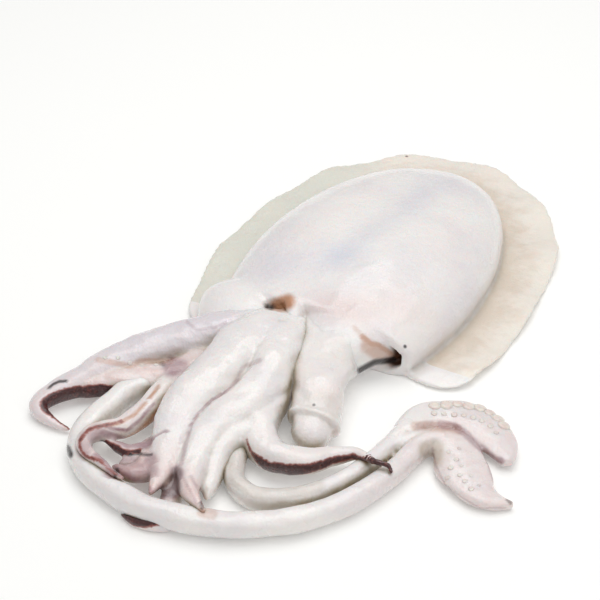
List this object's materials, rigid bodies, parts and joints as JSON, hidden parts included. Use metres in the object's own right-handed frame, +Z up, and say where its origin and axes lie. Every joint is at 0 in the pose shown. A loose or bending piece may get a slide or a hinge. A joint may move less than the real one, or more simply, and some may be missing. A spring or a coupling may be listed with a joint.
{
  "type": "whole raw cuttlefish",
  "caption": "Whole raw cuttlefish lying belly up, with an oval mantle ringed by a thin fin, a funnel, spread tapering arms and long tentacles that end in leaf-shaped clubs.",
  "frame": {"origin": "on the table under the middle of the mantle, on its flat underside", "axes": "+Y along the body from the arms to the tail, +X to the side where the clubs lie, +Z up from the table"},
  "size_m": [0.2294, 0.3607, 0.0342],
  "materials": {
    "flesh": "wet translucent raw flesh, pinkish white, cream on the fin, dark maroon skin along some arms"
  },
  "bodies": {
    "root": {"cuttlefish": "flesh"}
  },
  "joints": []
}
